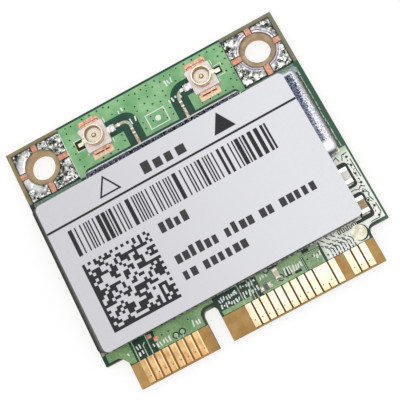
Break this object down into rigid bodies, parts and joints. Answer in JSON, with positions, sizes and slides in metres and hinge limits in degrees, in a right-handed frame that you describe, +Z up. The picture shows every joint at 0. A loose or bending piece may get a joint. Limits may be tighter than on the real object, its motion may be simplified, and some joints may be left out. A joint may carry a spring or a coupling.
{
  "type": "half-length wireless network card",
  "caption": "Small circuit board with a keyed contact edge, screw ears, round antenna receptacles and a labelled metal shield over a radio; plugs into a card socket.",
  "frame": {"origin": "under the middle of the board, on the surface that the card lies on", "axes": "+X along the contact edge with the short contact group at -X, +Y from the contact edge to the antenna end, +Z up out of the shield's side"},
  "size_m": [0.03, 0.0268, 0.0027],
  "materials": {
    "green_laminate": "green solder mask over glass-fibre laminate, bare on the tab",
    "contact_gold": "thin gold plating, satin",
    "bare_copper": "copper foil, satin",
    "solder": "reflowed tin solder, lumpy and bright",
    "tinned_sheet": "tinplate, mottled",
    "label_paper": "smooth white label stock, matt",
    "moulded_base": "off-white moulded polymer",
    "pale_gold": "pale gold plating, bright",
    "chip_ceramic": "fired ceramic, matt",
    "end_cap_tin": "tinned end caps",
    "chip_black": "black moulding compound"
  },
  "bodies": {
    "root": {"circuit_board": "green_laminate", "upper_contacts_short": "contact_gold", "upper_contacts_long": "contact_gold", "lower_contacts_short": "contact_gold", "lower_contacts_long": "contact_gold", "upper_screw_lands": "bare_copper", "lower_screw_lands": "bare_copper", "receptacle_lands": "bare_copper", "feed_lines": "bare_copper", "empty_lands": "bare_copper", "screw_land_solder": "solder", "shield_track": "solder", "outer_chip_lands": "solder", "inner_chip_lands": "solder", "shield_can": "tinned_sheet", "label": "label_paper", "left_receptacle_base": "moulded_base", "right_receptacle_base": "moulded_base", "left_receptacle_ring": "pale_gold", "right_receptacle_ring": "pale_gold", "left_receptacle_pin": "pale_gold", "right_receptacle_pin": "pale_gold", "feed_capacitors": "chip_ceramic", "side_capacitors": "chip_ceramic", "edge_chip_parts": "chip_ceramic", "antenna_filters": "chip_ceramic", "crystal_base": "chip_ceramic", "shielded_capacitors": "chip_ceramic", "feed_capacitor_caps": "end_cap_tin", "side_capacitor_caps": "end_cap_tin", "edge_chip_caps": "end_cap_tin", "crystal_lid": "end_cap_tin", "power_coil_plates": "end_cap_tin", "shielded_capacitor_caps": "end_cap_tin", "shielded_resistor_caps": "end_cap_tin", "radio_chip": "chip_black", "left_front_end": "chip_black", "right_front_end": "chip_black", "setup_memory": "chip_black", "power_coil": "chip_black", "shielded_resistors": "chip_black"}
  },
  "joints": []
}
